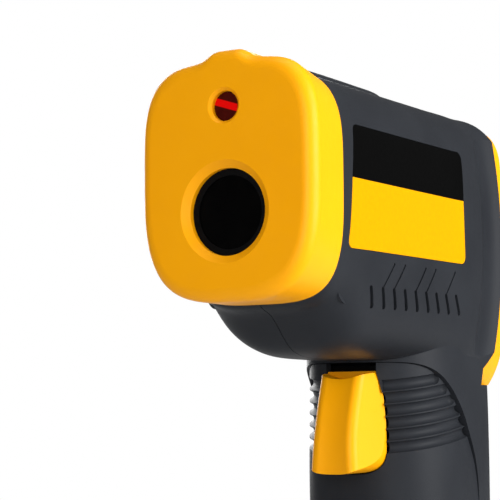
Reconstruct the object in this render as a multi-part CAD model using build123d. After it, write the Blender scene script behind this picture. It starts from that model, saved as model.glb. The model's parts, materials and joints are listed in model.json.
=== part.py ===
from build123d import *
from math import cos, pi, radians, sin, sqrt
import os

# Pistol-grip infrared thermometer, in millimetres.
# +X is the gun's left side, -Y is the muzzle, +Z is up; the origin is under the middle of the foot.

# ---- Overall size -------------------------------------------------------------------------------
WIDTH = 44.4
LENGTH = 101.0
HEIGHT = 153.0
FRONT_Y = -LENGTH / 2
REAR_Y = LENGTH / 2
WALL = 2.2
SEAM = 0.1          # half of the line that shows between two covers
RUNNING = 0.03      # radial play of a pin in its bore

# ---- Barrel and nose cap ------------------------------------------------------------------------
BARREL_MID_Z = 126.0
BARREL_TOP_Z = 149.5
RIDGE = HEIGHT - BARREL_TOP_Z
RIDGE_FLAT = 2.2     # half-width of the flat top of the ridge
RIDGE_FOOT = 7.8     # half-width of the foot of the ridge
RIDGE_STEP = 1.55    # spacing of the outline's points across the ridge
# Distances between the points of a section, the same for all sections: right side down, left side up
HALF_SPACING = [1.6, 1.6, 1.9, 2.1, 1.7, 4.3, 6.2, 6.2, 6.0, 5.4, 5.2, 5.5, 6.4, 8.2, 10.0, 9.2, 8.9]
BARREL_SPACING = HALF_SPACING + HALF_SPACING[::-1]
HANDLE_SPACING = [5.1] * 24
SHOULDER_ANGLE = 62.0
TOP_POWER = 3.4
CAP_REAR_Y = FRONT_Y + 14.0
CAP_BOTTOM_Z = 98.2
CAP_BOTTOM_POWER = 3.8
CAP_ROUND = 3.0
CAP_WALL_Y = FRONT_Y + 2.5
CAP_FRONT_HALF = WIDTH / 2
CAP_REAR_HALF = 21.5
CAP_FRONT_TOP_Z = 151.0
CAP_FRONT_TOP_POWER = 3.8
CAP_FRONT_BOTTOM_POWER = 3.2
CAP_FRONT_RIDGE = 2.0
BARREL_HALF = 21.2

# Stations along the barrel: y, half-width, top z, bottom z, lower power, ridge, top power
BARREL_STATIONS = [
    (CAP_REAR_Y + SEAM, 21.3, BARREL_TOP_Z, CAP_BOTTOM_Z, CAP_BOTTOM_POWER, RIDGE, TOP_POWER),
    (-32.4, BARREL_HALF, BARREL_TOP_Z, 96.4, 3.6, RIDGE, TOP_POWER),
    (-28.2, BARREL_HALF, BARREL_TOP_Z, 93.2, 3.5, RIDGE, TOP_POWER),
    (-24.2, BARREL_HALF, BARREL_TOP_Z, 89.6, 3.6, RIDGE, TOP_POWER),
    (-19.5, BARREL_HALF, BARREL_TOP_Z, 87.6, 3.7, RIDGE, TOP_POWER),
    (-12.0, BARREL_HALF, BARREL_TOP_Z, 86.9, 3.9, RIDGE, TOP_POWER),
    (0.0, BARREL_HALF, BARREL_TOP_Z, 86.8, 4.4, 3.4, TOP_POWER),
    (9.0, BARREL_HALF, BARREL_TOP_Z, 86.3, 5.0, 3.3, TOP_POWER),
    (14.0, BARREL_HALF, BARREL_TOP_Z, 85.4, 5.0, 2.9, TOP_POWER),
    (18.5, 21.25, BARREL_TOP_Z, 84.2, 5.0, 1.3, TOP_POWER),
    (22.5, 21.4, BARREL_TOP_Z, 82.8, 5.0, 0.1, TOP_POWER),
    (29.5, 21.65, 149.4, 80.0, 5.0, 0.0, 3.5),
    (39.0, 21.8, 149.0, 76.8, 5.0, 0.0, 4.0),
    (54.0, 21.8, 148.0, 76.0, 5.0, 0.0, 4.4),
]

# ---- Rear rim: an arc about an axis along X, with a soft valley in front of it -------------------
RIM_AXIS_Y = -23.4
RIM_AXIS_Z = 117.0
RIM_R = 70.0
RIM_HALF = 21.5
VALLEY_HALF = 19.7
BEZEL_FLOOR_Z = 80.8
BEZEL_FACE_Y = 49.7
BEZEL_STEP = 0.3     # how far the bezel lies inside the rim
BEZEL_HALF = 21.5
BEZEL_TOP_Z = 149.3
BEZEL_SLOPE = 0.11
BEZEL_TOP_POWER = 4.8
BEZEL_ROUND = 2.6
BEZEL_WALL = 2.0

# ---- Handle --------------------------------------------------------------------------------------
# Stations up the handle: z, front y, rear y, half-width
HANDLE_STATIONS = [
    (2.4, 9.2, 50.4, 18.8),
    (20.0, 7.8, 49.8, 19.2),
    (42.0, 6.2, 49.3, 19.7),
    (60.0, 5.2, 49.1, 20.0),
    (76.0, 4.5, 49.2, 19.9),
    (86.0, 4.2, 49.2, 19.6),
    (97.0, 4.2, 48.0, 19.2),
]
# How much narrower the door's flank is than the handle beside it, station by station
DOOR_INSETS = (0.0, 0.0, 0.0, 0.4, 1.0, 1.0, 1.0)
DOOR_STATIONS = [
    (z, front, rear, half - inset) for (z, front, rear, half), inset in zip(HANDLE_STATIONS, DOOR_INSETS)
]
FOOT_ROUND = 2.4
GRIP_FRONT_POWER = 2.35
GRIP_REAR_POWER = 4.0

# ---- Battery door --------------------------------------------------------------------------------
DOOR_TOP_Z = 86.2
DOOR_SEAM_Y = 33.6
HINGE_Y = 11.6
HINGE_Z = 2.3
KNUCKLE_R = 2.0
KNUCKLE_HALF = 10.2
CENTRE_LUG_HALF = 2.3
PIN_R = 0.75
PIN_HALF = 7.6
GROOVES = 6
GROOVE_R = 1.35
GROOVE_LIFT = 0.35   # how far the groove's axis lies outside the surface
GROOVE_TOP_Z = 80.6
GROOVE_PITCH = 2.95
GROOVE_RISE = 0.16

# ---- Trigger -------------------------------------------------------------------------------------
TRIGGER_HALF = 8.4
TRIGGER_BOTTOM_Z = 60.0
TRIGGER_TOP_Z = 83.6
TRIGGER_CORNER = 6.5
TRIGGER_SIDE = [(8.35, 71.0), (8.15, 75.0), (7.5, 79.5), (6.4, 84.0)]
# The trigger's front from below: y and z
TRIGGER_FRONT = [(-4.4, 56.0), (-4.4, 60.0), (-3.9, 69.0), (-1.9, 77.0), (0.4, 84.0), (1.9, 88.0)]
TRIGGER_HOLLOW_R = 17.0
TRIGGER_NOTCH_R = 15.0
TAIL_HALF = 6.0
TAIL_Z = (66.0, 79.0)
TAIL_END_Y = 15.5
BRACKET_Y = (9.4, 22.6)
BRACKET_Z = (58.0, 85.5)
BRACKET_HALF = 9.0
BRACKET_WALL = 1.5
SPRING_Z = 69.2
SPRING_R = 2.2
SPRING_WIRE_R = 0.25
SPRING_TURNS = 6
SWITCH_Z = 75.4

# ---- Optics --------------------------------------------------------------------------------------
SENSOR_Z = 117.6
LENS_R = 9.0
SENSOR_HOLE_R = 9.5
SENSOR_BEVEL_R = 11.2
LASER_Z = 140.5
LASER_HOLE_R = 3.3
LASER_BEVEL_R = 4.0
LASER_R = 3.0

# ---- Label and the grooves below it ----------------------------------------------------------------
LABEL_DEPTH = 0.3
CHEVRONS = 9
CHEVRON_FIRST_Y = -21.8
CHEVRON_PITCH = 5.2
CHEVRON_Z = 99.9
CHEVRON_DEPTH = 0.6
FINE_CHEVRONS = (1, 2, 4, 5, 7)
FINE_CHEVRON_Z = 105.0
CHEVRON_BED_X = 12.0
CHEVRON_REACH = 14.0

# ---- Electronics -----------------------------------------------------------------------------------
BOARD_Y = (37.0, 38.6)
BOARD_Z = (87.5, 142.5)
BOARD_HALF = 16.0
LCD_Z = (109.0, 138.0)
KEY_Z = 97.0
KEY_SPACING = 11.0
KEY_TRAVEL = 0.8
BATTERY_HALF = 13.1
BATTERY_Y = (16.2, 33.6)
BATTERY_Z = (5.0, 51.4)

# ---- Fasteners: y, z and boss length of the screws that hold the two shells together --------------
SHELL_SCREWS = [
    (-28.0, 101.8, 17.0),
    (-10.0, 142.0, 15.5),
    (24.0, 142.0, 15.5),
    (27.5, 95.0, 18.0),
    (42.0, 66.0, 15.5),
    (42.5, 12.0, 15.0),
]
SCREW_R = 1.2
SCREW_HEAD_R = 2.5
SCREW_HEAD_X = -12.5
BOSS_R = 3.6
BOARD_SCREWS = [(-10.0, 140.2), (10.0, 140.2), (-13.0, 89.6), (13.0, 89.6)]
BRACKET_SCREWS = [(-7.0, 28.0), (7.0, 28.0)]


# ---- Small helpers ---------------------------------------------------------------------------------
def block(x0, x1, y0, y1, z0, z1):
    """A box between two corners."""
    size = (x1 - x0, y1 - y0, z1 - z0)
    middle = ((x0 + x1) / 2, (y0 + y1) / 2, (z0 + z1) / 2)
    return Pos(*middle) * Box(*size)


def rod_x(radius, x0, x1, y, z):
    """A cylinder along X."""
    return Pos((x0 + x1) / 2, y, z) * (Rot(0, 90, 0) * Cylinder(radius, x1 - x0))


def rod_y(radius, y0, y1, x, z):
    """A cylinder along Y."""
    return Pos(x, (y0 + y1) / 2, z) * (Rot(90, 0, 0) * Cylinder(radius, y1 - y0))


def rod_z(radius, z0, z1, x, y):
    """A cylinder along Z."""
    return Pos(x, y, (z0 + z1) / 2) * Cylinder(radius, z1 - z0)


def cone_y(front_r, rear_r, y0, y1, x, z):
    """A cone along Y, front_r at the smaller y."""
    return Pos(x, (y0 + y1) / 2, z) * (Rot(90, 0, 0) * Cone(rear_r, front_r, y1 - y0))


def side_prism(outline, half=40.0):
    """An outline drawn in the YZ plane, as thick as the object is wide."""
    return extrude(Plane.YZ * outline, half, both=True)


def closed_spline(points, spacing):
    """A closed curve through the points, its knots spaced alike on every section of a loft."""
    knots = [0.0]
    for step in spacing:
        knots.append(knots[-1] + step)
    return Wire([Edge.make_spline([Vector(*p) for p in points], periodic=True, parameters=knots)])


# ---- The two lofts that give the body its form ------------------------------------------------------
def ridge_share(x):
    """1 on the flat top of the ridge, 0 beyond its foot, and a smooth flank between them."""
    t = min(max((abs(x) - RIDGE_FLAT) / (RIDGE_FOOT - RIDGE_FLAT), 0.0), 1.0)
    return 0.5 * (1 + cos(pi * t))


def barrel_wire(y, half, top_z, bottom_z, bottom_power, ridge, top_power, inset=0.0):
    """One cross-section of the barrel: a super-ellipse with a ridge on its top."""
    a = half - inset
    up = top_z - BARREL_MID_Z - inset
    down = BARREL_MID_Z - bottom_z - inset
    right = []
    for step in range(6):
        x = RIDGE_STEP * step
        z = BARREL_MID_Z + up * (1 - (x / a) ** top_power) ** (1 / top_power)
        right.append((x, z + ridge * ridge_share(x)))
    for step in range(12):
        angle = radians(SHOULDER_ANGLE - (SHOULDER_ANGLE + 90.0) * step / 11)
        b, power = (up, top_power) if angle >= 0 else (down, bottom_power)
        radius = ((abs(cos(angle)) / a) ** power + (abs(sin(angle)) / b) ** power) ** (-1 / power)
        right.append((radius * cos(angle), BARREL_MID_Z + radius * sin(angle)))
    right[-1] = (0.0, BARREL_MID_Z - down)
    left = [(-x, z) for x, z in reversed(right[1:-1])]
    points = [(x, y, z) for x, z in right + left]
    return closed_spline(points, BARREL_SPACING)


def barrel_solid(inset=0.0, ridged=True, stations=None):
    """The barrel, its wall surface moved inwards by inset."""
    wires = []
    for y, half, top_z, bottom_z, power, ridge, top_power in stations or BARREL_STATIONS:
        height = ridge if ridged else 0.0
        wires.append(barrel_wire(y, half, top_z, bottom_z, power, height, top_power, inset))
    return Solid.make_loft(wires)


def rounded_end(radius, steps=4):
    """Pairs (distance from the end face, inset) along a quarter circle."""
    pairs = []
    for step in range(steps + 1):
        angle = pi / 2 * step / steps
        pairs.append((radius * (1 - cos(angle)), radius * (1 - sin(angle))))
    return pairs


def door_at(z):
    """Front y, rear y and half-width of the door's surface at height z, between the stations."""
    lower = DOOR_STATIONS[0]
    for upper in DOOR_STATIONS[1:]:
        if z <= upper[0]:
            t = max((z - lower[0]) / (upper[0] - lower[0]), 0.0)
            return tuple(lower[i] + t * (upper[i] - lower[i]) for i in (1, 2, 3))
        lower = upper
    return DOOR_STATIONS[-1][1:]


def door_half_width(y, z):
    """Distance of the door's surface from the middle plane at y and z."""
    front, rear, half = door_at(z)
    middle = (front + rear) / 2
    reach = (rear - front) / 2
    power = GRIP_FRONT_POWER if y < middle else GRIP_REAR_POWER
    share = min(abs(y - middle) / reach, 1.0)
    return half * (1 - share ** power) ** (1 / power)


def handle_wire(z, front, rear, half, inset):
    """One level section of the handle: rounder in front, boxier behind."""
    middle = (front + rear) / 2
    a = half - inset
    b = (rear - front) / 2 - inset
    points = []
    for step in range(24):
        angle = 2 * pi * step / 24
        power = GRIP_FRONT_POWER if sin(angle) < 0 else GRIP_REAR_POWER
        radius = ((abs(cos(angle)) / a) ** power + (abs(sin(angle)) / b) ** power) ** (-1 / power)
        points.append((radius * cos(angle), middle + radius * sin(angle), z))
    return closed_spline(points, HANDLE_SPACING)


def handle_solid(stations, inset=0.0, floor_z=0.0):
    """A handle form; its outside has a rounded foot edge, its inside starts at floor_z."""
    wires = [handle_wire(z, front, rear, half, inset) for z, front, rear, half in stations[1:]]
    _, front, rear, half = stations[0]
    if inset == 0.0:
        upper = Solid.make_loft([handle_wire(FOOT_ROUND, front, rear, half, 0.0)] + wires)
        foot_wires = [handle_wire(z, front, rear, half, edge) for z, edge in rounded_end(FOOT_ROUND)]
        return upper + Solid.make_loft(foot_wires)
    return Solid.make_loft([handle_wire(floor_z, front, rear, half, inset)] + wires)


def valley_limit():
    """A turned solid about the rim's axis: it presses the valley in and ends at the flared rim."""
    half_line = Spline(
        (24.0, RIM_R - 22.0), (21.3, RIM_R - 11.5), (VALLEY_HALF, RIM_R - 5.3), (RIM_HALF, RIM_R)
    )
    right = half_line + Line((RIM_HALF, RIM_R), (0, RIM_R))
    right += Line((0, RIM_R), (0, 0))
    right += Line((0, 0), (24.0, 0))
    right += Line((24.0, 0), (24.0, RIM_R - 22.0))
    profile = Pos(0, RIM_AXIS_Y, RIM_AXIS_Z) * make_face(right)
    half_limit = revolve(profile, Axis((0, RIM_AXIS_Y, RIM_AXIS_Z), (1, 0, 0)), 360)
    return half_limit + mirror(half_limit, Plane.YZ)


def rear_zone(extra):
    """Everything behind the rim and above the bezel's floor, moved back and up by extra."""
    radius = RIM_R + extra
    floor_z = BEZEL_FLOOR_Z + extra
    low_y = RIM_AXIS_Y + sqrt(radius ** 2 - (floor_z - RIM_AXIS_Z) ** 2)
    top_z = HEIGHT + 2
    top_y = RIM_AXIS_Y + sqrt(radius ** 2 - (top_z - RIM_AXIS_Z) ** 2)
    arc = ThreePointArc((low_y, floor_z), (RIM_AXIS_Y + radius, RIM_AXIS_Z), (top_y, top_z))
    outline = arc + Polyline((top_y, top_z), (70, top_z), (70, floor_z), (low_y, floor_z))
    return side_prism(make_face(outline))


def door_zone(gap):
    """The side outline of the battery door, made smaller by gap along its seam."""
    top_z = DOOR_TOP_Z - gap
    rear_y = DOOR_SEAM_Y - gap
    low_z = HINGE_Z + gap
    arch = Spline((6.0, top_z), (19.9 - gap, 80.3 - gap), (29.6 - gap, 67.0 - gap), (rear_y, 46.0),
                  tangents=[(1, 0), (0, -1)])
    outline = Line((-20, top_z), (6.0, top_z)) + arch
    outline += Polyline((rear_y, 46.0), (rear_y, low_z), (-20, low_z), (-20, top_z))
    return side_prism(make_face(outline))


# ---- Shared solids, built once -------------------------------------------------------------------
OUTER_BARREL = barrel_solid() & valley_limit()
OUTER_HANDLE = handle_solid(HANDLE_STATIONS)
OUTER_DOOR = handle_solid(DOOR_STATIONS)
INNER_HANDLE = handle_solid(DOOR_STATIONS, WALL, WALL)
LABEL_BED = barrel_solid(LABEL_DEPTH, False)
CHEVRON_BED = barrel_solid(CHEVRON_DEPTH, False)


def hollow_body():
    """Barrel and handle as one hollow body, before it is split and cut for the door."""
    inner_stations = [(CAP_REAR_Y - 1.0,) + BARREL_STATIONS[0][1:]] + BARREL_STATIONS[1::2]
    clip = block(-18.9, 18.9, -60, 60, BEZEL_FLOOR_Z + WALL, HEIGHT)
    inner_barrel = barrel_solid(WALL, False, inner_stations) & clip
    outer = OUTER_BARREL + OUTER_HANDLE - rear_zone(0.0)
    inner = inner_barrel + INNER_HANDLE
    return outer - inner


def chevron_cuts():
    """Nine grooves on each flank, each with a short thick stroke below and some with a fine one above."""
    flank = Plane.YZ.offset(CHEVRON_BED_X)
    thick_strokes = []
    fine_strokes = []
    for index in range(CHEVRONS):
        y = CHEVRON_FIRST_Y + CHEVRON_PITCH * index
        thick = Pos(y + 0.9, CHEVRON_Z) * (Rot(0, 0, -67) * SlotOverall(5.4, 1.3))
        thick_strokes.append(extrude(flank * thick, CHEVRON_REACH))
        if index in FINE_CHEVRONS:
            fine = Pos(y + 2.5, FINE_CHEVRON_Z) * (Rot(0, 0, 50) * SlotOverall(7.6, 0.6))
            fine_strokes.append(extrude(flank * fine, CHEVRON_REACH))
    deep = [stroke - CHEVRON_BED for stroke in thick_strokes]
    shallow = [stroke - LABEL_BED for stroke in fine_strokes]
    return deep + shallow


def shell_fixtures(side):
    """Bosses, shelf and hinge lug that belong to the shell on one side (+1 left, -1 right)."""
    start = SEAM * side
    fixtures = [rod_x(BOSS_R, *sorted((start, reach * side)), y, z) for y, z, reach in SHELL_SCREWS]
    shelf_x = sorted((5.0 * side, 18.6 * side))
    fixtures.append(block(*shelf_x, 24.2, 31.8, BRACKET_Z[1] + 0.1, 88.0))
    lug_x = sorted((start, CENTRE_LUG_HALF * side))
    lug = rod_x(KNUCKLE_R, *lug_x, HINGE_Y, HINGE_Z) + block(*lug_x, HINGE_Y, HINGE_Y + 5, 0.6, WALL)
    fixtures.append(lug & OUTER_HANDLE)
    return fixtures


def shell_cuts(side):
    """Screw bores, the hinge pin's bore and the grooves on the flank."""
    cuts = [rod_x(PIN_R + 0.01, -PIN_HALF - 0.1, PIN_HALF + 0.1, HINGE_Y, HINGE_Z)]
    for y, z, _ in SHELL_SCREWS:
        if side > 0:
            cuts.append(rod_x(SCREW_R + 0.02, -1.0, 12.0, y, z))
        else:
            cuts.append(rod_x(SCREW_R + 0.15, SCREW_HEAD_X - 0.1, 1.0, y, z))
            cuts.append(rod_x(SCREW_HEAD_R + 0.2, -40.0, SCREW_HEAD_X, y, z))
    cuts += [rod_z(0.92, 80.0, 87.4, x, y) for x, y in BRACKET_SCREWS]
    flank_cuts = chevron_cuts() + [label_prism(0.12) - LABEL_BED]
    return cuts + [cut if side > 0 else mirror(cut, Plane.YZ) for cut in flank_cuts]


def shell(side, body):
    """One half of the body, with its bosses, bores and flank grooves."""
    keep = block(*sorted((SEAM * side, 40.0 * side)), -60, 60, -5, 160)
    half = (body & keep) + shell_fixtures(side)
    return largest(half - shell_cuts(side))


def largest(shape):
    """The biggest solid of a shape, without stray crumbs."""
    return max(shape.solids(), key=lambda solid: solid.volume)


def body_for_shells():
    """The hollow body with the door's place and the knuckles' notches cut out of it."""
    body = hollow_body() - door_zone(0.0)
    toe = block(-KNUCKLE_HALF - 0.2, KNUCKLE_HALF + 0.2, 0, HINGE_Y + KNUCKLE_R + 0.25, -1, HINGE_Z + 3)
    return body - toe


# ---- Covers ----------------------------------------------------------------------------------------
def nose_cap():
    """The cap on the muzzle, rounded in front, with the laser hole above the sensor hole."""
    rear = (CAP_REAR_HALF, BARREL_TOP_Z, CAP_BOTTOM_Z, CAP_BOTTOM_POWER, RIDGE, TOP_POWER)
    front = (CAP_FRONT_HALF, CAP_FRONT_TOP_Z, CAP_BOTTOM_Z, CAP_FRONT_BOTTOM_POWER)
    front += (CAP_FRONT_RIDGE, CAP_FRONT_TOP_POWER)
    nose = [barrel_wire(FRONT_Y + depth, *front, inset) for depth, inset in rounded_end(CAP_ROUND)]
    sleeve = [barrel_wire(FRONT_Y + CAP_ROUND, *front), barrel_wire(CAP_REAR_Y, *rear)]
    cap = Solid.make_loft(nose) + Solid.make_loft(sleeve)
    inner = [barrel_wire(y, *rear, WALL) for y in (CAP_WALL_Y, CAP_REAR_Y + 1)]
    cap -= Solid.make_loft(inner) & block(-19.3, 19.3, CAP_WALL_Y, 0, 0, 200)
    for z, bevel_r, hole_r, depth in (
        (SENSOR_Z, SENSOR_BEVEL_R, SENSOR_HOLE_R, 1.3),
        (LASER_Z, LASER_BEVEL_R, LASER_HOLE_R, 0.7),
    ):
        cap -= cone_y(bevel_r, hole_r, FRONT_Y, FRONT_Y + depth, 0, z)
        cap -= rod_y(hole_r, FRONT_Y + 0.1, CAP_WALL_Y + 1, 0, z)
    return largest(cap)


def rear_bezel():
    """The rear cover behind the rim, with the display opening and three key holes."""
    stations = []
    for y in (30.0, 38.0, BEZEL_FACE_Y - BEZEL_ROUND):
        top_z = BEZEL_TOP_Z - BEZEL_SLOPE * (y - 30.0)
        stations.append((y, BEZEL_HALF, top_z, 76.0, 5.0, 0.0, BEZEL_TOP_POWER))
    outer = barrel_solid(BEZEL_STEP, False, stations)
    end = []
    for depth, inset in rounded_end(BEZEL_ROUND):
        end.append(barrel_wire(BEZEL_FACE_Y - depth, *stations[-1][1:], BEZEL_STEP + inset))
    outer += Solid.make_loft(end)
    inner_stations = stations[:2] + [(BEZEL_FACE_Y,) + stations[2][1:]]
    inner = barrel_solid(BEZEL_STEP + BEZEL_WALL, False, inner_stations)
    inner = inner & block(-30, 30, 0, BEZEL_FACE_Y - BEZEL_WALL, BEZEL_FLOOR_Z + BEZEL_WALL, 200)
    bezel = (outer - inner) & rear_zone(SEAM)
    bezel += [rod_y(2.1, BOARD_Y[1] + 0.05, BEZEL_FACE_Y - 1.0, x, z) for x, z in BOARD_SCREWS]
    cuts = [rod_y(0.82, BOARD_Y[0], BEZEL_FACE_Y - 2.0, x, z) for x, z in BOARD_SCREWS]
    cuts.append(block(-14.2, 14.2, 45, 60, LCD_Z[0] + 2.5, LCD_Z[1] - 2.5))
    cuts.append(block(-15.6, 15.6, BEZEL_FACE_Y - 0.8, 60, LCD_Z[0] + 1.1, LCD_Z[1] - 1.1))
    for x in (-KEY_SPACING, 0, KEY_SPACING):
        cuts.append(block(x - 4.4, x + 4.4, 45, 60, KEY_Z - 3.0, KEY_Z + 3.0))
    return largest(bezel - cuts)


def groove_cuts():
    """Finger grooves round both flanks of the door, rising to the rear."""
    cuts = []
    for index in range(GROOVES):
        front_z = GROOVE_TOP_Z - GROOVE_PITCH * index
        rear_y = 15.6 + 2.75 * index
        points = []
        for step in range(7):
            y = 5.6 + (rear_y - 5.6) * step / 6
            z = front_z + GROOVE_RISE * (y - 5.6)
            points.append((door_half_width(y, z) + GROOVE_LIFT, y, z))
        path = Spline(*points)
        tip = Plane(origin=path @ 0, z_dir=path % 0)
        groove = sweep(tip * Circle(GROOVE_R), path)
        groove += Pos(*points[-1]) * Sphere(GROOVE_R)
        cuts.append(groove)
        cuts.append(mirror(groove, Plane.YZ))
    return cuts


def trigger_front(extra, top_z):
    """The trigger seen from the front, grown by extra: narrow above, a rounded foot below."""
    half = TRIGGER_HALF + extra
    corner = TRIGGER_CORNER + extra
    low_z = TRIGGER_BOTTOM_Z + TRIGGER_CORNER
    right = []
    for step in range(7):
        angle = pi / 2 * step / 6
        right.append((half * sin(angle) ** 0.7, low_z - corner * cos(angle) ** 0.7))
    right += [(x + extra, z) for x, z in TRIGGER_SIDE]
    left = [(-x, z) for x, z in reversed(right[1:])]
    curve = Spline(*(left + right))
    top = right[-1][0]
    return curve, Polyline((top, right[-1][1]), (top, top_z), (-top, top_z), (-top, right[-1][1]))


def trigger_window(extra):
    """The gap between the door's cheeks, open at the top."""
    curve, lid = trigger_front(extra, 100.0)
    return extrude(Plane.XZ * make_face(curve + lid), 12, both=True)


def battery_door():
    """The front of the handle: two cheeks beside the trigger and the cover over the battery."""
    zone = door_zone(0.15)
    door = (OUTER_DOOR & zone) - INNER_HANDLE
    for first, last in ((CENTRE_LUG_HALF + 0.2, KNUCKLE_HALF), (-KNUCKLE_HALF, -CENTRE_LUG_HALF - 0.2)):
        door += rod_x(KNUCKLE_R, first, last, HINGE_Y, HINGE_Z) & OUTER_HANDLE
    lug_space = rod_x(KNUCKLE_R + 0.2, -CENTRE_LUG_HALF - 0.2, CENTRE_LUG_HALF + 0.2, HINGE_Y, HINGE_Z)
    pin_bore = rod_x(PIN_R + RUNNING, -PIN_HALF - 0.1, PIN_HALF + 0.1, HINGE_Y, HINGE_Z)
    return largest(door - [lug_space, pin_bore, trigger_window(0.35)] - groove_cuts())


# ---- Trigger group ---------------------------------------------------------------------------------
def trigger():
    """The finger piece, hollowed across its front, with its hollow tail."""
    plans = []
    for z, rear_half, front_half in ((TRIGGER_BOTTOM_Z - 1, 9.5, 4.9), (TRIGGER_TOP_Z + 4, 6.9, 2.8)):
        corners = [(-rear_half, 6.8), (-front_half, -8.0), (front_half, -8.0), (rear_half, 6.8)]
        plans.append(Wire.make_polygon([(x, y, z) for x, y in corners]))
    blank = Solid.make_loft(plans, True)
    rings = [Pos(0, y - TRIGGER_HOLLOW_R, z) * Wire.make_circle(TRIGGER_HOLLOW_R) for y, z in TRIGGER_FRONT]
    blank = largest(blank - Solid.make_loft(rings))
    curve, lid = trigger_front(0.0, TRIGGER_TOP_Z + 0.5)
    blank = blank & extrude(Plane.XZ * make_face(curve + lid), 20, both=True)
    blank -= rod_y(TRIGGER_NOTCH_R, -20, 5.5, 0, TRIGGER_TOP_Z - 1.4 + TRIGGER_NOTCH_R)
    creases = blank.edges().filter_by(lambda e: e.length > 12 and e.center().Y < 0.5)
    blank = fillet(creases, 2.2)
    blank -= block(-5.0, 5.0, 0.6, 8.0, 66.0, 78.0)
    tail = block(-TAIL_HALF, TAIL_HALF, 5.0, TAIL_END_Y, *TAIL_Z)
    tail -= block(-TAIL_HALF + 1.4, TAIL_HALF - 1.4, 4.0, 9.4, TAIL_Z[0] + 1.4, TAIL_Z[1] - 1.4)
    tabs = block(-TAIL_HALF - 1.2, TAIL_HALF + 1.2, 11.3, 12.7, 69.0, 76.0)
    piece = blank + tail + tabs
    piece -= rod_y(SPRING_R + 0.7, 10.6, 20.0, 0, SPRING_Z)
    return largest(piece)


def trigger_bracket():
    """The open box that guides the trigger's tail and carries the spring and the switch."""
    y0, y1 = BRACKET_Y
    z0, z1 = BRACKET_Z
    wall = BRACKET_WALL
    box = block(-BRACKET_HALF, BRACKET_HALF, y0, y1, z0, z1)
    box = chamfer(box.edges().filter_by(Axis.Z).group_by(Axis.Y)[0], 1.2)
    box -= block(-BRACKET_HALF + wall, BRACKET_HALF - wall, y0 + wall, y1 - wall, z0 + wall, z1 - wall)
    slot_z = (TAIL_Z[0] - 0.3, TAIL_Z[1] + 0.3)
    box -= block(-TAIL_HALF - 0.3, TAIL_HALF + 0.3, y0 - 1, y0 + wall + 0.1, *slot_z)
    box += block(-BRACKET_HALF, BRACKET_HALF, y1 - wall, 31.6, z1 - wall, z1)
    box += rod_y(1.4, y1 - wall - 2.0, y1 - wall, 0, SPRING_Z)
    for x, y in BRACKET_SCREWS:
        box -= rod_z(1.15, z1 - 3, z1 + 1, x, y)
    return box


def trigger_spring():
    """The coil that pushes the trigger forward."""
    start = 10.9
    length = BRACKET_Y[1] - BRACKET_WALL - 0.3 - start
    coil = Helix(pitch=length / SPRING_TURNS, height=length, radius=SPRING_R)
    section = Plane(origin=coil @ 0, z_dir=coil % 0) * Circle(SPRING_WIRE_R)
    wire = sweep(section, coil, is_frenet=True)
    return Pos(0, start, SPRING_Z) * (Rot(-90, 0, 0) * wire)


def switch_body():
    """The push switch behind the trigger, with two solder pins."""
    rear = BRACKET_Y[1] - BRACKET_WALL
    body = block(-3.5, 3.5, 18.0, rear, SWITCH_Z - 2.4, SWITCH_Z + 5.4)
    body -= rod_y(1.2 + 0.06, 17.0, rear - 0.3, 0, SWITCH_Z)
    return body


def switch_plunger():
    """The button of the switch, touched by the trigger's tail."""
    return rod_y(1.2, TAIL_END_Y + 0.03, 18.25, 0, SWITCH_Z)


# ---- Door hinge and battery --------------------------------------------------------------------------
def door_hinge_pin():
    return rod_x(PIN_R, -PIN_HALF, PIN_HALF, HINGE_Y, HINGE_Z)


def battery():
    """A 9 V block with its two snap terminals on top."""
    case = block(-BATTERY_HALF, BATTERY_HALF, *BATTERY_Y, *BATTERY_Z)
    case = fillet(case.edges().filter_by(Axis.Z), 1.8)
    middle = sum(BATTERY_Y) / 2
    top = BATTERY_Z[1]
    stud = rod_z(2.8, top, top + 2.4, 6.35, middle)
    socket = rod_z(4.2, top, top + 2.4, -6.35, middle) - rod_z(3.1, top + 0.4, top + 3, -6.35, middle)
    return case + stud + socket


def battery_connector():
    """The snap plate on the battery's terminals."""
    middle = sum(BATTERY_Y) / 2
    base = BATTERY_Z[1] + 2.5
    plate = block(-12.4, 12.4, middle - 6.2, middle + 6.2, base, base + 2.0)
    return fillet(plate.edges().filter_by(Axis.Z), 5.5)


def battery_pad():
    """Foam under the battery."""
    return block(-11.0, 11.0, BATTERY_Y[0] + 1.0, BATTERY_Y[1] - 1.0, WALL + 0.05, BATTERY_Z[0] - 0.05)


def wire_run(points, radii, wire_r=0.6):
    """A round wire along straight runs joined by tangent arcs."""
    path = FilletPolyline(*points, radius=radii)
    section = Plane(origin=path @ 0, z_dir=path % 0) * Circle(wire_r)
    return sweep(section, path)


def battery_lead(side):
    """A lead from the snap plate up behind the trigger bracket to the circuit board."""
    x = 3.0 * side
    top = BATTERY_Z[1] + 4.5
    end_y = BOARD_Y[0] - 0.1
    points = [(x, 25.0, top), (x, 25.0, 62.0), (x, 32.4, 72.0), (x, 32.4, 92.0), (x, end_y, 92.0)]
    return wire_run(points, [4.0, 5.0, 2.5])


# ---- Optics ----------------------------------------------------------------------------------------
def ir_lens():
    """The dark infrared lens, bulged towards the target."""
    disc = rod_y(LENS_R, -47.8, -46.2, 0, SENSOR_Z)
    bulge_r = 60.0
    bulge = Pos(0, -48.3 + bulge_r, SENSOR_Z) * Sphere(bulge_r)
    dome = rod_y(LENS_R - 1.2, -48.3, -47.6, 0, SENSOR_Z) & bulge
    return disc + dome


def lens_retainer():
    """The black ring that holds the lens in its tube."""
    ring = rod_y(SENSOR_HOLE_R - 0.1, -48.15, -47.85, 0, SENSOR_Z)
    return ring - rod_y(LENS_R - 1.0, -49, -47, 0, SENSOR_Z)


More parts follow.
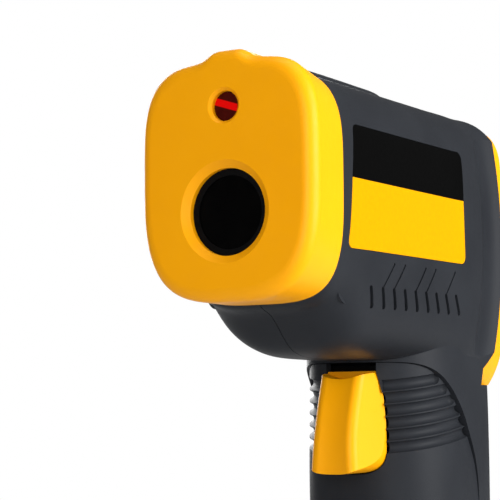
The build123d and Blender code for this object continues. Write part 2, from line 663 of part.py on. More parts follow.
def sensor_tube():
    """The tube between the lens and the thermopile."""
    tube = rod_y(11.6, -47.8, -24.0, 0, SENSOR_Z)
    tube -= rod_y(LENS_R + 0.05, -48.0, -46.15, 0, SENSOR_Z)
    tube -= rod_y(8.6, -46.5, -27.0, 0, SENSOR_Z)
    return tube - rod_y(4.7, -28, -23, 0, SENSOR_Z)


def field_stop():
    """The ring that trims the sensor's view."""
    return rod_y(8.5, -37.0, -36.0, 0, SENSOR_Z) - rod_y(3.6, -38, -35, 0, SENSOR_Z)


def thermopile():
    """The sensor can on its flange, with four pins through the sensor board."""
    can = rod_y(4.1, -29.4, -25.2, 0, SENSOR_Z)
    can -= rod_y(1.6, -30, -29.1, 0, SENSOR_Z)
    can += rod_y(4.6, -25.2, -24.4, 0, SENSOR_Z)
    for x in (-1.8, 1.8):
        for z in (-1.8, 1.8):
            can += rod_y(0.22, -24.5, -21.6, x, SENSOR_Z + z)
    return can


def sensor_board():
    """The small board at the end of the sensor tube."""
    board = block(-10.0, 10.0, -23.9, -22.4, SENSOR_Z - 9.0, SENSOR_Z + 9.0)
    for x in (-1.8, 1.8):
        for z in (-1.8, 1.8):
            board -= rod_y(0.26, -25, -21, x, SENSOR_Z + z)
    return board


def laser_window():
    """The red pane in the laser hole."""
    return rod_y(LASER_HOLE_R - 0.05, -48.9, CAP_WALL_Y, 0, LASER_Z)


def laser_module():
    """The brass laser barrel."""
    barrel = rod_y(LASER_R, -45.5, -31.0, 0, LASER_Z)
    return barrel - rod_y(2.15, -46, -44.0, 0, LASER_Z)


def laser_lens():
    return rod_y(2.1, -45.2, -44.05, 0, LASER_Z)


def laser_holder():
    """The saddle that grips the laser barrel under the ridge."""
    holder = block(-5.5, 5.5, -43.0, -34.0, LASER_Z - 5.0, LASER_Z + 4.6)
    holder -= rod_y(LASER_R + 0.02, -44, -33, 0, LASER_Z)
    return holder


def laser_lead(side):
    """A lead from the laser back to the circuit board, over the sensor."""
    x = 1.2 * side
    points = [(x, -30.9, LASER_Z), (x, -20.0, LASER_Z), (x, -6.0, 131.0), (x, 36.9, 131.0)]
    return wire_run(points, [8.0, 14.0], 0.45)


def sensor_cable():
    """The flat cable from the sensor board to the circuit board."""
    points = [(0, -22.3, 112.0), (0, -14.0, 112.0), (0, 2.0, 118.0), (0, 36.9, 118.0)]
    path = FilletPolyline(*points, radius=8.0)
    section = Plane(origin=path @ 0, z_dir=path % 0, x_dir=(1, 0, 0)) * Rectangle(6.0, 0.5)
    return sweep(section, path)


# ---- Electronics -----------------------------------------------------------------------------------
def main_board():
    """The circuit board behind the display."""
    board = block(-BOARD_HALF, BOARD_HALF, *BOARD_Y, *BOARD_Z)
    corners = board.edges().filter_by(Axis.Y)
    board = fillet(corners, 3.5)
    for x, z in BOARD_SCREWS:
        board -= rod_y(1.05, BOARD_Y[0] - 1, BOARD_Y[1] + 1, x, z)
    return board


def processor_chip():
    return block(-5.0, 5.0, BOARD_Y[0] - 1.4, BOARD_Y[0], 104.8, 114.8)


def board_parts():
    """Capacitor, crystal, connector and small chips on the front of the board."""
    front = BOARD_Y[0]
    parts = [
        rod_y(2.5, front - 5.5, front, -11.0, 100.0),
        block(-13.5, -9.0, front - 2.0, front, 112.0, 123.0),
        block(9.5, 13.5, front - 3.4, front, 112.0, 115.6),
        block(8.0, 13.0, front - 1.2, front, 122.0, 126.0),
        block(-8.5, -3.0, front - 1.0, front, 124.0, 128.0),
    ]
    return Compound(children=[largest(part) for part in parts])


def buzzer():
    """The sounder, with its hole facing forward."""
    body = rod_y(5.8, BOARD_Y[0] - 5.0, BOARD_Y[0], 8.6, 98.5)
    return body - rod_y(0.9, BOARD_Y[0] - 6, BOARD_Y[0] - 4, 8.6, 98.5)


def key_switches():
    """Three small tact switches on the rear of the board."""
    rear = BOARD_Y[1]
    switches = []
    for x in (-KEY_SPACING, 0, KEY_SPACING):
        body = block(x - 2.6, x + 2.6, rear, rear + 1.8, KEY_Z - 2.6, KEY_Z + 2.6)
        body += rod_y(1.5, rear + 1.7, rear + 2.4, x, KEY_Z)
        switches.append(largest(body))
    return Compound(children=switches)


def key(x):
    """One key: cap, inner flange and stem."""
    face_y = REAR_Y - 0.05
    flange_y = BEZEL_FACE_Y - BEZEL_WALL - 0.05
    cap = block(x - 4.2, x + 4.2, flange_y - 0.5, face_y, KEY_Z - 2.8, KEY_Z + 2.8)
    cap = fillet(cap.edges().filter_by(Axis.Y), 0.4)
    cap = fillet(cap.faces().sort_by(Axis.Y)[-1].edges(), 0.35)
    flange = block(x - 5.1, x + 5.1, flange_y - 0.8, flange_y, KEY_Z - 3.6, KEY_Z + 3.6)
    stem = rod_y(1.7, BOARD_Y[1] + 2.4 + KEY_TRAVEL + 0.05, flange_y - 0.7, x, KEY_Z)
    return cap + flange + stem


def lcd_window():
    """The clear pane over the display."""
    return block(-15.5, 15.5, BEZEL_FACE_Y - 0.75, BEZEL_FACE_Y + 0.15, LCD_Z[0] + 1.2, LCD_Z[1] - 1.2)


def lcd_panel():
    """The display glass."""
    return block(-16.0, 16.0, 45.3, 47.4, *LCD_Z)


def lcd_backlight():
    """The light guide behind the display."""
    return block(-14.5, 14.5, 42.4, 45.2, LCD_Z[0] + 3.4, LCD_Z[1] - 1.0)


def lcd_frame():
    """The frame that stands the display off the board."""
    frame = block(-16.8, 16.8, BOARD_Y[1] + 0.05, 45.2, LCD_Z[0] - 0.5, LCD_Z[1] - 0.1)
    frame -= block(-14.7, 14.7, BOARD_Y[1] - 1, 46, LCD_Z[0] + 0.9, LCD_Z[1] - 0.9)
    return frame


def zebra_strip():
    """The rubber contact strip between the board and the display."""
    return block(-14.0, 14.0, BOARD_Y[1] + 0.05, 45.25, LCD_Z[0] + 1.0, LCD_Z[0] + 3.0)


# ---- Labels ----------------------------------------------------------------------------------------
def label_prism(margin):
    """The label's outline, a little wider at the bottom, as a bar through the left flank."""
    outline = Polyline(
        (-30.6 - margin, 137.2 + margin), (23.8 + margin, 137.2 + margin),
        (24.6 + margin, 110.0 - margin), (-33.1 - margin, 110.0 - margin), (-30.6 - margin, 137.2 + margin),
    )
    return extrude(Plane.YZ.offset(10) * fillet(make_face(outline).vertices(), 1.8), 20)


def side_label(side):
    """The two-tone label in its shallow pocket on the barrel's flank."""
    label = largest(label_prism(0.0) & OUTER_BARREL - LABEL_BED)
    return label if side > 0 else mirror(label, Plane.YZ)


# ---- Screws ----------------------------------------------------------------------------------------
def shell_screws():
    """Six self-tapping screws from the right side."""
    screws = []
    for y, z, _ in SHELL_SCREWS:
        head = rod_x(SCREW_HEAD_R, SCREW_HEAD_X - 1.8, SCREW_HEAD_X - 0.02, y, z)
        head -= block(SCREW_HEAD_X - 2, SCREW_HEAD_X - 1.0, y - 0.35, y + 0.35, z - 1.5, z + 1.5)
        head -= block(SCREW_HEAD_X - 2, SCREW_HEAD_X - 1.0, y - 1.5, y + 1.5, z - 0.35, z + 0.35)
        screws.append(largest(head + rod_x(SCREW_R, SCREW_HEAD_X - 0.5, 10.0, y, z)))
    return Compound(children=screws)


def board_screws():
    """Four screws through the board into the bezel."""
    screws = []
    for x, z in BOARD_SCREWS:
        head = rod_y(1.7, BOARD_Y[0] - 1.4, BOARD_Y[0] - 0.02, x, z)
        screws.append(largest(head + rod_y(0.8, BOARD_Y[0] - 0.5, BOARD_Y[1] + 7.0, x, z)))
    return Compound(children=screws)


def bracket_screws():
    """Two screws that hang the trigger bracket from the shells' shelves."""
    screws = []
    for x, y in BRACKET_SCREWS:
        under = BRACKET_Z[1] - BRACKET_WALL
        head = rod_z(1.9, under - 1.4, under - 0.02, x, y)
        screws.append(largest(head + rod_z(0.9, under - 0.5, 87.3, x, y)))
    return Compound(children=screws)


# ---- Write every sub-part --------------------------------------------------------------------------
def all_parts():
    body = body_for_shells()
    parts = {
        "left_shell": shell(1, body),
        "right_shell": shell(-1, body),
        "nose_cap": nose_cap(),
        "rear_bezel": rear_bezel(),
        "battery_door": battery_door(),
        "door_hinge_pin": door_hinge_pin(),
        "trigger": trigger(),
        "trigger_bracket": trigger_bracket(),
        "trigger_spring": trigger_spring(),
        "switch_body": switch_body(),
        "switch_plunger": switch_plunger(),
        "battery_9v": battery(),
        "battery_connector": battery_connector(),
        "battery_pad": battery_pad(),
        "battery_lead_red": battery_lead(1),
        "battery_lead_black": battery_lead(-1),
        "ir_lens": ir_lens(),
        "lens_retainer": lens_retainer(),
        "sensor_tube": sensor_tube(),
        "field_stop": field_stop(),
        "thermopile_sensor": thermopile(),
        "sensor_board": sensor_board(),
        "sensor_cable": sensor_cable(),
        "laser_window": laser_window(),
        "laser_module": laser_module(),
        "laser_lens": laser_lens(),
        "laser_holder": laser_holder(),
        "laser_lead_red": laser_lead(1),
        "laser_lead_black": laser_lead(-1),
        "main_board": main_board(),
        "processor_chip": processor_chip(),
        "board_parts": board_parts(),
        "buzzer": buzzer(),
        "key_switches": key_switches(),
        "laser_key": key(-KEY_SPACING),
        "backlight_key": key(0.0),
        "unit_key": key(KEY_SPACING),
        "lcd_window": lcd_window(),
        "lcd_panel": lcd_panel(),
        "lcd_backlight": lcd_backlight(),
        "lcd_frame": lcd_frame(),
        "zebra_strip": zebra_strip(),
        "left_label": side_label(1),
        "right_label": side_label(-1),
        "shell_screws": shell_screws(),
        "board_screws": board_screws(),
        "bracket_screws": bracket_screws(),
    }
    return parts


os.makedirs("parts", exist_ok=True)
for name, shape in all_parts().items():
    export_step(shape, f"parts/{name}.step")
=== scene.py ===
import json
from math import cos, pi, sin

import bpy
from mathutils import Matrix, Vector


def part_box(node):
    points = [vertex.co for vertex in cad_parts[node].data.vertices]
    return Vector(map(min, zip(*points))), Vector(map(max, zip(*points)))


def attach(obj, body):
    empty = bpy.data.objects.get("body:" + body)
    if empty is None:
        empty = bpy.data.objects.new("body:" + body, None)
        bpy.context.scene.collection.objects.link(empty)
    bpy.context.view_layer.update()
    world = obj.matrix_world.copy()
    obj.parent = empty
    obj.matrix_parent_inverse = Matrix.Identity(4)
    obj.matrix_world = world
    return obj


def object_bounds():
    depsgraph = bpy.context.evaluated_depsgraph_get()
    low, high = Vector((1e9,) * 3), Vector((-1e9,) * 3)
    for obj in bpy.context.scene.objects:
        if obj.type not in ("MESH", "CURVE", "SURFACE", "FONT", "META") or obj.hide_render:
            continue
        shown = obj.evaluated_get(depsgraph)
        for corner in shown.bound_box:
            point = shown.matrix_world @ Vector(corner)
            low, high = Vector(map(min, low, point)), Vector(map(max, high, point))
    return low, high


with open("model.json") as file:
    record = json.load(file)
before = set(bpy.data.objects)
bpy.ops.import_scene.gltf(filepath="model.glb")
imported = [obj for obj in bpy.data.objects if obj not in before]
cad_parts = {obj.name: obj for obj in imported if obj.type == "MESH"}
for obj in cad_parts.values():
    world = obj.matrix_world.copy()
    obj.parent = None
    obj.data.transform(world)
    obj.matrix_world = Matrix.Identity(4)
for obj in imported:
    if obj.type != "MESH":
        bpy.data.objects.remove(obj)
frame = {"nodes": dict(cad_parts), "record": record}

CAD_BOX = [list(corner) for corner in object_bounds()]
NODES = frame["nodes"]
MM = 0.001
KEY_CENTRE_Z = 97.0
LABEL_SPLIT_Z = 125.4      # the label is black above and yellow below
LENS_CENTRE_Z = 117.6
LASER_CENTRE = (-0.2, 140.9)
# Tilt, half width and end of the painted streak of laser light on the red pane
PAINTED_BEAM_TILT = 0.33
PAINTED_BEAM_HALF = 0.82
PAINTED_BEAM_END_X = 2.8
BATTERY_STRIPE_Z = (38.6, 39.8)
BATTERY_BAND_Z = 41.0
BATTERY_TOP_Z = 51.2
FIELD_HALF = 13.4
FIELD_Z = (112.2, 134.8)
WORLD_LIGHT = 0.18
FLOOR_RADIUS = 0.75
FLOOR_SIDES = 96


# ---- Camera ----------------------------------------------------------------------------------------
def add_camera():
    """Level with the barrel, to the front and left of it, looking slightly up."""
    forward = Vector((-0.5252, 0.8462, 0.0894)).normalized()
    up_hint = Vector((0.0546, -0.0714, 0.996))
    right = forward.cross(up_hint).normalized()
    up = right.cross(forward)
    data = bpy.data.cameras.new("camera")
    data.lens = 126.0
    data.sensor_width = 36.0
    data.clip_start = 0.01
    data.clip_end = 20.0
    camera = bpy.data.objects.new("camera", data)
    rotation = Matrix((right, up, -forward)).transposed().to_4x4()
    camera.matrix_world = Matrix.Translation(Vector((0.2008, -0.36364, 0.07584))) @ rotation
    bpy.context.scene.collection.objects.link(camera)
    bpy.context.scene.camera = camera


# ---- Node helpers ------------------------------------------------------------------------------------
class Mat:
    """A material under construction: its node tree and short calls for the usual nodes."""

    def __init__(self, name):
        self.material = bpy.data.materials.new(name)
        self.material.use_nodes = True
        self.nodes = self.material.node_tree.nodes
        self.links = self.material.node_tree.links
        self.shader = self.nodes["Principled BSDF"]
        self.coords = self.nodes.new("ShaderNodeTexCoord").outputs["Object"]

    def new(self, kind, **settings):
        node = self.nodes.new(kind)
        for key, value in settings.items():
            setattr(node, key, value)
        return node

    def feed(self, socket, value):
        """Link an output, or set a plain value."""
        if isinstance(value, bpy.types.NodeSocket):
            self.links.new(value, socket)
        else:
            socket.default_value = value

    def set(self, **values):
        names = {"rough": "Roughness", "metal": "Metallic", "color": "Base Color", "ior": "IOR",
                 "spec": "Specular IOR Level", "trans": "Transmission Weight", "emit": "Emission Color",
                 "emit_strength": "Emission Strength"}
        for key, value in values.items():
            self.feed(self.shader.inputs[names[key]], value)
        return self

    def noise(self, scale, detail=3.0, roughness=0.5, stretch=None):
        coords = self.coords
        if stretch:
            mapping = self.new("ShaderNodeMapping")
            mapping.inputs["Scale"].default_value = stretch
            self.feed(mapping.inputs["Vector"], coords)
            coords = mapping.outputs["Vector"]
        node = self.new("ShaderNodeTexNoise")
        self.feed(node.inputs["Vector"], coords)
        node.inputs["Scale"].default_value = scale
        node.inputs["Detail"].default_value = detail
        node.inputs["Roughness"].default_value = roughness
        return node.outputs["Fac"]

    def ramp(self, factor, stops):
        """A colour ramp from (position, colour) stops; a number stands for a grey."""
        node = self.new("ShaderNodeValToRGB")
        ramp = node.color_ramp
        for index, (position, colour) in enumerate(stops):
            element = ramp.elements[index] if index < 2 else ramp.elements.new(position)
            element.position = position
            grey = isinstance(colour, (int, float))
            element.color = (colour, colour, colour, 1) if grey else (*colour, 1)
        self.feed(node.inputs["Fac"], factor)
        return node.outputs["Color"]

    def math(self, operation, a, b=0.0):
        node = self.new("ShaderNodeMath", operation=operation)
        self.feed(node.inputs[0], a)
        self.feed(node.inputs[1], b)
        return node.outputs[0]

    def mix(self, factor, a, b):
        node = self.new("ShaderNodeMix", data_type="RGBA")
        self.feed(node.inputs["Factor"], factor)
        for socket, value in ((node.inputs[6], a), (node.inputs[7], b)):
            self.feed(socket, (*value, 1) if isinstance(value, tuple) and len(value) == 3 else value)
        return node.outputs[2]

    def axis(self, letter):
        """One of the object coordinates, in millimetres."""
        node = self.new("ShaderNodeSeparateXYZ")
        self.feed(node.inputs[0], self.coords)
        return self.math("MULTIPLY", node.outputs[letter], 1000.0)

    def step(self, value, edge, soft=0.05):
        """0 below the edge and 1 above it, with a soft change."""
        node = self.new("ShaderNodeMapRange", interpolation_type="SMOOTHSTEP")
        self.feed(node.inputs["Value"], value)
        node.inputs["From Min"].default_value = edge - soft
        node.inputs["From Max"].default_value = edge + soft
        return node.outputs["Result"]

    def inside(self, value, low, high, soft=0.05):
        return self.math("SUBTRACT", self.step(value, low, soft), self.step(value, high, soft))

    def bump(self, height, strength, distance):
        node = self.new("ShaderNodeBump")
        node.inputs["Strength"].default_value = strength
        node.inputs["Distance"].default_value = distance
        self.feed(node.inputs["Height"], height)
        self.feed(self.shader.inputs["Normal"], node.outputs["Normal"])
        return self


# ---- Materials ---------------------------------------------------------------------------------------
def black_abs():
    """Charcoal ABS with a fine spark-eroded grain and faint handling marks."""
    m = Mat("black_abs")
    grain = m.noise(2600.0, 2.0, 0.6)
    cloud = m.noise(45.0, 4.0, 0.55)
    m.set(color=m.ramp(cloud, [(0.3, (0.0150, 0.0165, 0.0200)), (0.7, (0.0195, 0.0215, 0.0255))]),
          rough=m.ramp(m.math("ADD", m.math("MULTIPLY", grain, 0.5), m.math("MULTIPLY", cloud, 0.5)),
                       [(0.3, 0.40), (0.7, 0.52)]), spec=0.08)
    return m.bump(grain, 0.25, 0.00006).material


def yellow_abs():
    """Amber-yellow gloss ABS, slightly orange-peeled."""
    m = Mat("yellow_abs")
    peel = m.noise(420.0, 2.0, 0.5)
    cloud = m.noise(30.0, 3.0, 0.5)
    m.set(color=m.ramp(cloud, [(0.3, (0.86, 0.345, 0.0)), (0.7, (0.90, 0.375, 0.0005))]),
          rough=m.ramp(peel, [(0.3, 0.36), (0.7, 0.46)]), spec=0.14)
    return m.bump(peel, 0.12, 0.00004).material


def label_film():
    """The printed label: black above, yellow below, under a satin film."""
    m = Mat("label_film")
    height = m.axis("Z")
    fine = m.noise(900.0, 3.0, 0.6)
    yellow = m.ramp(fine, [(0.3, (0.62, 0.27, 0.0)), (0.7, (0.66, 0.295, 0.0))])
    split = m.step(height, LABEL_SPLIT_Z, 0.05)
    m.set(color=m.mix(split, yellow, (0.0008, 0.0008, 0.0008)),
          rough=m.ramp(fine, [(0.3, 0.36), (0.7, 0.46)]), spec=0.03)
    return m.bump(fine, 0.08, 0.00002).material


def steel():
    m = Mat("bright_steel")
    scratch = m.noise(700.0, 5.0, 0.6, (1.0, 6.0, 1.0))
    m.set(color=(0.55, 0.55, 0.56, 1), metal=1.0, rough=m.ramp(scratch, [(0.3, 0.22), (0.7, 0.42)]))
    return m.bump(scratch, 0.15, 0.00002).material


def brass():
    m = Mat("turned_brass")
    rings = m.noise(900.0, 4.0, 0.6, (1.0, 8.0, 1.0))
    m.set(color=(0.72, 0.50, 0.18, 1), metal=1.0, rough=m.ramp(rings, [(0.3, 0.20), (0.7, 0.38)]))
    return m.bump(rings, 0.2, 0.00002).material


def moulded(name, dark, light, low, high, scale=1500.0, spec=0.5):
    """Plain moulded plastic or rubber between two tones, with a fine grain."""
    m = Mat(name)
    grain = m.noise(scale, 3.0, 0.6)
    m.set(color=m.ramp(grain, [(0.3, dark), (0.7, light)]), rough=m.ramp(grain, [(0.3, low), (0.7, high)]),
          spec=spec)
    return m.bump(grain, 0.25, 0.00005).material


def dark_lens():
    """Near-black infrared lens with fine rings."""
    m = Mat("dark_lens")
    x = m.axis("X")
    z = m.math("SUBTRACT", m.axis("Z"), LENS_CENTRE_Z)
    radius = m.math("SQRT", m.math("ADD", m.math("MULTIPLY", x, x), m.math("MULTIPLY", z, z)))
    rings = m.math("FRACT", m.math("MULTIPLY", radius, 1.6))
    m.set(color=m.ramp(m.noise(300.0), [(0.3, (0.0006, 0.0006, 0.0007)), (0.7, (0.0012, 0.0011, 0.0011))]),
          rough=m.ramp(m.noise(300.0), [(0.3, 0.14), (0.7, 0.22)]), spec=0.04)
    return m.bump(rings, 0.08, 0.00003).material


def red_pane():
    """The laser pane: very dark red, crossed by a painted soft streak of the laser beam's light, and made to
    glow though it is no lamp.
    """
    m = Mat("red_pane")
    x = m.math("SUBTRACT", m.axis("X"), LASER_CENTRE[0])
    z = m.math("SUBTRACT", m.axis("Z"), LASER_CENTRE[1])
    # Painted light: a soft tilted band that stands in for the glow of the laser beam on the pane
    across = m.math("ABSOLUTE", m.math("ADD", z, m.math("MULTIPLY", x, PAINTED_BEAM_TILT)))
    painted_beam = m.math("SUBTRACT", 1.0, m.step(across, PAINTED_BEAM_HALF, 0.14))
    painted_beam_glow = m.math("MULTIPLY", painted_beam, m.math("SUBTRACT", 1.0, m.step(x, PAINTED_BEAM_END_X, 0.25)))
    speckle = m.ramp(m.noise(900.0, 3.0, 0.6), [(0.3, (0.030, 0.0012, 0.0004)), (0.7, (0.055, 0.003, 0.001))])
    m.set(color=m.mix(painted_beam_glow, speckle, (0.50, 0.002, 0.001)),
          # Painted light: the pane glows faintly all over and strongly along the painted beam streak, though
          # it is no lamp
          emit=m.mix(painted_beam_glow, (0.014, 0.0004, 0.0), (0.36, 0.0, 0.0)), emit_strength=0.75,
          rough=m.ramp(m.noise(500.0), [(0.3, 0.14), (0.7, 0.22)]), spec=0.12)
    return m.material


def clear_pane():
    m = Mat("clear_pane")
    m.set(color=(0.93, 0.95, 0.95, 1), trans=1.0, ior=1.45,
          rough=m.ramp(m.noise(60.0), [(0.3, 0.02), (0.7, 0.06)]))
    return m.material


def circuit_board():
    """Green solder mask with copper tracks, vias and pads."""
    m = Mat("circuit_board")
    x = m.axis("X")
    z = m.axis("Z")
    wander = m.noise(60.0, 2.0, 0.4)
    lanes = m.math("FRACT", m.math("ADD", m.math("MULTIPLY", x, 0.55), m.math("MULTIPLY", wander, 3.0)))
    tracks = m.inside(lanes, 0.35, 0.6, 0.03)
    gate = m.step(m.noise(90.0, 1.0, 0.3), 0.52, 0.02)
    copper = m.math("MULTIPLY", tracks, gate)
    cell_x = m.math("SUBTRACT", m.math("FRACT", m.math("MULTIPLY", x, 0.4)), 0.5)
    cell_z = m.math("SUBTRACT", m.math("FRACT", m.math("MULTIPLY", z, 0.4)), 0.5)
    reach = m.math("ADD", m.math("MULTIPLY", cell_x, cell_x), m.math("MULTIPLY", cell_z, cell_z))
    pads = m.math("MULTIPLY", m.math("SUBTRACT", 1.0, m.step(reach, 0.035, 0.006)),
                  m.step(m.noise(120.0, 0.0), 0.55, 0.02))
    green = m.mix(copper, (0.006, 0.085, 0.028), (0.018, 0.17, 0.05))
    m.set(color=m.mix(pads, green, (0.62, 0.60, 0.55)), metal=pads, rough=0.34)
    return m.bump(m.math("ADD", copper, pads), 0.25, 0.00004).material


def battery_can():
    """A 9 V block: dark jacket, copper-coloured top band and a generic stripe."""
    m = Mat("battery_can")
    height = m.axis("Z")
    scuff = m.noise(500.0, 4.0, 0.6)
    band = m.step(height, BATTERY_BAND_Z, 0.08)
    stripe = m.inside(height, *BATTERY_STRIPE_Z, 0.06)
    jacket = m.mix(stripe, (0.012, 0.013, 0.016), (0.75, 0.75, 0.72))
    colour = m.mix(band, jacket, (0.70, 0.33, 0.12))
    metal_top = m.step(height, BATTERY_TOP_Z, 0.05)
    m.set(color=m.mix(metal_top, colour, (0.62, 0.61, 0.58)),
          metal=m.math("MAXIMUM", m.math("MULTIPLY", band, 0.8), metal_top),
          rough=m.ramp(scuff, [(0.3, 0.24), (0.7, 0.40)]))
    return m.bump(scuff, 0.1, 0.00003).material


def display_glass():
    """The liquid crystal's grey-green field with a darker border."""
    m = Mat("display_glass")
    x = m.axis("X")
    z = m.axis("Z")
    field = m.math("MULTIPLY", m.inside(x, -FIELD_HALF, FIELD_HALF, 0.15), m.inside(z, *FIELD_Z, 0.15))
    mottle = m.noise(70.0, 3.0, 0.5)
    green = m.ramp(mottle, [(0.3, (0.36, 0.43, 0.33)), (0.7, (0.40, 0.47, 0.36))])
    m.set(color=m.mix(field, (0.16, 0.19, 0.15), green), rough=0.22, spec=0.4)
    return m.material


MATERIALS = {
    "body_black": black_abs(),
    "signal_yellow": yellow_abs(),
    "steel": steel(),
    # Painted shade: the inner plastic is darker than the real part, so pieces seen inside the openings look
    # like shadow
    "inner_plastic": moulded("inner_plastic", (0.0022, 0.0022, 0.0024), (0.0045, 0.0045, 0.0048), 0.5, 0.65,
                             spec=0.04),
    "battery_can": battery_can(),
    "foam": moulded("foam", (0.02, 0.02, 0.022), (0.06, 0.06, 0.065), 0.85, 0.98, 900.0),
    "red_wire": moulded("red_wire", (0.42, 0.008, 0.006), (0.52, 0.012, 0.009), 0.30, 0.42),
    "black_wire": moulded("black_wire", (0.008, 0.008, 0.009), (0.015, 0.015, 0.016), 0.30, 0.42),
    "dark_lens": dark_lens(),
    "circuit_board": circuit_board(),
    "ribbon": moulded("ribbon", (0.45, 0.45, 0.46), (0.55, 0.55, 0.56), 0.35, 0.5),
    "red_pane": red_pane(),
    "brass": brass(),
    "clear_pane": clear_pane(),
    "chip": moulded("chip", (0.010, 0.010, 0.011), (0.020, 0.020, 0.021), 0.38, 0.5),
    "key_grey": moulded("key_grey", (0.11, 0.115, 0.125), (0.14, 0.145, 0.155), 0.55, 0.7, 1100.0),
    "display_glass": display_glass(),
    "light_guide": moulded("light_guide", (0.74, 0.75, 0.73), (0.82, 0.83, 0.81), 0.3, 0.45),
    "zebra_rubber": moulded("zebra_rubber", (0.30, 0.12, 0.14), (0.38, 0.16, 0.19), 0.6, 0.75),
    "label_film": label_film(),
    "segment_ink": moulded("segment_ink", (0.010, 0.012, 0.014), (0.020, 0.022, 0.024), 0.45, 0.6, 2500.0),
    "sign_ink": moulded("sign_ink", (0.62, 0.63, 0.64), (0.72, 0.73, 0.74), 0.45, 0.6, 2500.0),
}


def dress_nodes():
    """Give each CAD node the material of its slot."""
    for part in frame["record"]["subparts"]:
        node = NODES[part["node"]]
        node.data.materials.clear()
        node.data.materials.append(MATERIALS[part["material_slot"]])


# ---- Light and floor ---------------------------------------------------------------------------------
def add_area(name, place, target, size, power, colour=(1.0, 1.0, 1.0)):
    data = bpy.data.lights.new(name, "AREA")
    data.shape = "RECTANGLE"
    data.size, data.size_y = size
    data.energy = power
    data.color = colour
    light = bpy.data.objects.new(name, data)
    light.location = place
    light.rotation_euler = (Vector(target) - Vector(place)).to_track_quat("-Z", "Y").to_euler()
    bpy.context.scene.collection.objects.link(light)


def add_floor():
    """A pale disc that the handle stands on."""
    mesh = bpy.data.meshes.new("floor")
    angles = [2 * pi * k / FLOOR_SIDES for k in range(FLOOR_SIDES)]
    ring = [(FLOOR_RADIUS * cos(angle), FLOOR_RADIUS * sin(angle), 0.0) for angle in angles]
    mesh.from_pydata(ring, [], [tuple(range(FLOOR_SIDES))])
    floor = bpy.data.objects.new("floor", mesh)
    floor.location.z = CAD_BOX[0][2] - 0.0002
    bpy.context.scene.collection.objects.link(floor)
    m = Mat("pale_floor")
    tone = m.noise(4.0, 2.0, 0.5)
    m.set(color=m.ramp(tone, [(0.3, 0.62), (0.7, 0.65)]), rough=0.8, spec=0.1)
    mesh.materials.append(m.material)


def add_world():
    """White behind the object, and a dimmer white light on it."""
    world = bpy.data.worlds.new("studio")
    world.use_nodes = True
    tree = world.node_tree
    back = tree.nodes["Background"]
    back.inputs["Color"].default_value = (1.0, 1.0, 1.0, 1.0)
    path = tree.nodes.new("ShaderNodeLightPath")
    strength = tree.nodes.new("ShaderNodeMapRange")
    strength.inputs["To Min"].default_value = WORLD_LIGHT
    strength.inputs["To Max"].default_value = 1.0
    tree.links.new(path.outputs["Is Camera Ray"], strength.inputs["Value"])
    tree.links.new(strength.outputs["Result"], back.inputs["Strength"])
    bpy.context.scene.world = world


def add_lights():
    """A large key on the object's left side, a weak fill in front and a soft top light."""
    add_world()
    aim = (0.0, 0.0, 0.1)
    add_area("key", (0.72, 0.02, 0.30), aim, (0.5, 0.6), 9.5)
    add_area("fill", (0.35, -0.95, 0.20), aim, (0.5, 0.5), 4.6)
    add_area("top", (0.1, -0.1, 0.9), aim, (0.6, 0.6), 2.6)
    add_area("rear", (-0.75, 0.75, 0.40), aim, (0.7, 0.7), 9.0)
    bpy.context.scene.view_settings.view_transform = "Standard"


# ---- Printed and moulded details ---------------------------------------------------------------------
def prism_piece(name, outlines, y0, y1, material, body):
    """Flat outlines in X and Z (mm), as thick as y0 to y1, joined in one piece."""
    points = []
    faces = []
    for outline in outlines:
        turn = sum(a[0] * b[1] - b[0] * a[1] for a, b in zip(outline, outline[1:] + outline[:1]))
        ring = outline if turn > 0 else outline[::-1]
        count = len(ring)
        front = list(range(len(points), len(points) + count))
        for y in (y0, y1):
            points += [(x * MM, y * MM, z * MM) for x, z in ring]
        faces.append(front)
        faces.append([index + count for index in reversed(front)])
        faces += [(b, a, a + count, b + count) for a, b in zip(front, front[1:] + front[:1])]
    data = bpy.data.meshes.new(name)
    data.from_pydata(points, [], faces)
    data.materials.append(material)
    piece = bpy.data.objects.new(name, data)
    bpy.context.scene.collection.objects.link(piece)
    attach(piece, body)


def segment(x, z, length, upright, width=0.95):
    """One pointed bar of a seven-segment digit, centred at x and z."""
    half, tip = length / 2, width / 2
    top_edge = [(-half, 0), (-half + tip, tip), (half - tip, tip)]
    bar = top_edge + [(-a, -b) for a, b in top_edge]
    return [(x + b, z + a) if upright else (x + a, z + b) for a, b in bar]


SEGMENTS_ON = {"0": "abcdef", "2": "abged", "5": "afgcd", "6": "afgedc", "9": "abcdfg"}


def digit(character, x, z, size):
    """Segments of a digit as it is read from behind, where +X is on the left."""
    half, bar = size / 4, size / 2
    places = {"a": (0, size / 2, False), "g": (0, 0, False), "d": (0, -size / 2, False),
              "f": (half, half, True), "e": (half, -half, True),
              "b": (-half, half, True), "c": (-half, -half, True)}
    width = size * 0.11
    return [segment(x + places[key][0], z + places[key][1], bar - 0.15 * width, places[key][2], width)
            for key in SEGMENTS_ON[character]]


def disc(x, z, radius, count=20, start=0.0):
    return [(x + radius * cos(start + 2 * pi * k / count), z + radius * sin(start + 2 * pi * k / count))
            for k in range(count)]


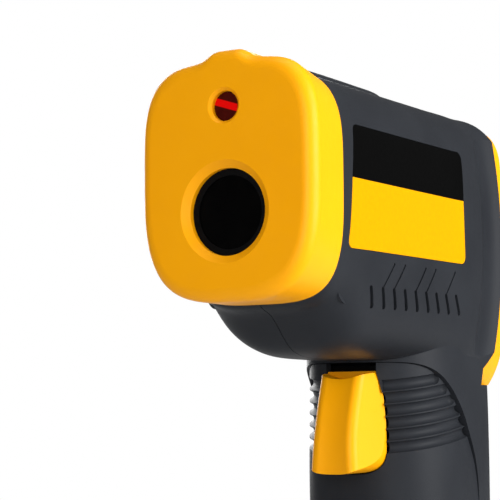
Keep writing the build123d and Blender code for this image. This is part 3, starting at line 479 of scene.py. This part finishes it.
def add_display_print():
    """The reading, a small second reading, a decimal point, a degree ring and a battery sign."""
    low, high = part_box("lcd_panel")
    face = high[1] / MM
    middle = (low[2] + high[2]) / 2 / MM
    shapes = []
    for character, x in (("2", 9.0), ("5", 2.6), ("6", -4.6)):
        shapes += digit(character, x, middle + 1.4, 9.0)
    shapes.append(disc(-1.0, middle - 3.0, 0.55, 12))
    for character, x in (("0", 9.6), ("9", 7.2), ("5", 4.1)):
        shapes += digit(character, x, middle - 8.4, 3.0)
    shapes.append(disc(5.6, middle - 9.7, 0.28, 8))
    ring = [disc(-9.2, middle + 4.6, 0.95, 16), disc(-9.2, middle + 4.6, 0.5, 16)]
    for k in range(16):
        a, b = ring[0][k], ring[0][(k + 1) % 16]
        c, d = ring[1][(k + 1) % 16], ring[1][k]
        shapes.append([a, b, c, d])
    case_z = middle + 9.3
    for x0, x1, z0, z1 in ((-7.6, -12.0, -1.1, -0.85), (-7.6, -12.0, 0.85, 1.1), (-7.6, -7.9, -0.85, 0.85),
                           (-11.7, -12.0, -0.85, 0.85), (-12.0, -12.5, -0.4, 0.4), (-8.2, -9.2, -0.6, 0.6),
                           (-9.5, -10.5, -0.6, 0.6)):
        shapes.append([(x0, case_z + z0), (x1, case_z + z0), (x1, case_z + z1), (x0, case_z + z1)])
    shapes.append(segment(8.6, middle + 9.3, 5.0, False, 0.5))
    prism_piece("display_reading", shapes, face + 0.02, face + 0.10, MATERIALS["segment_ink"],
                "root")


def add_key_icons():
    """A raised sign on each key: a spot with rays, a lamp sign and a pair of arrows."""
    for node in ("laser_key", "backlight_key", "unit_key"):
        low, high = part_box(node)
        x = (low[0] + high[0]) / 2 / MM
        z = KEY_CENTRE_Z
        face = high[1] / MM
        shapes = []
        if node == "laser_key":
            shapes.append(disc(x, z, 0.55, 16))
            for k in range(8):
                angle = pi * k / 4
                shapes.append(ray(x, z, angle, 0.85, 1.55, 0.2))
        elif node == "backlight_key":
            shapes.append(disc(x, z + 0.35, 0.85, 18))
            for dz in (-0.75, -1.2):
                shapes.append([(x - 0.45, z + dz), (x + 0.45, z + dz),
                               (x + 0.45, z + dz - 0.24), (x - 0.45, z + dz - 0.24)])
        else:
            for side in (1, -1):
                shapes.append([(x - 0.9, z + 0.35 * side), (x + 0.9, z + 0.35 * side), (x, z + 1.5 * side)])
        prism_piece(node + "_sign", shapes, face - 0.03, face + 0.06, MATERIALS["sign_ink"], node)


def ray(x, z, angle, inner, outer, width):
    """A short bar that points away from x and z."""
    along, across = (cos(angle), sin(angle)), (-sin(angle) * width / 2, cos(angle) * width / 2)
    return [(x + along[0] * r + across[0] * side, z + along[1] * r + across[1] * side)
            for r, side in ((inner, -1), (outer, -1), (outer, 1), (inner, 1))]


# ---- Put together -----------------------------------------------------------------------------------
add_camera()
dress_nodes()
add_display_print()
add_key_icons()
add_lights()
add_floor()
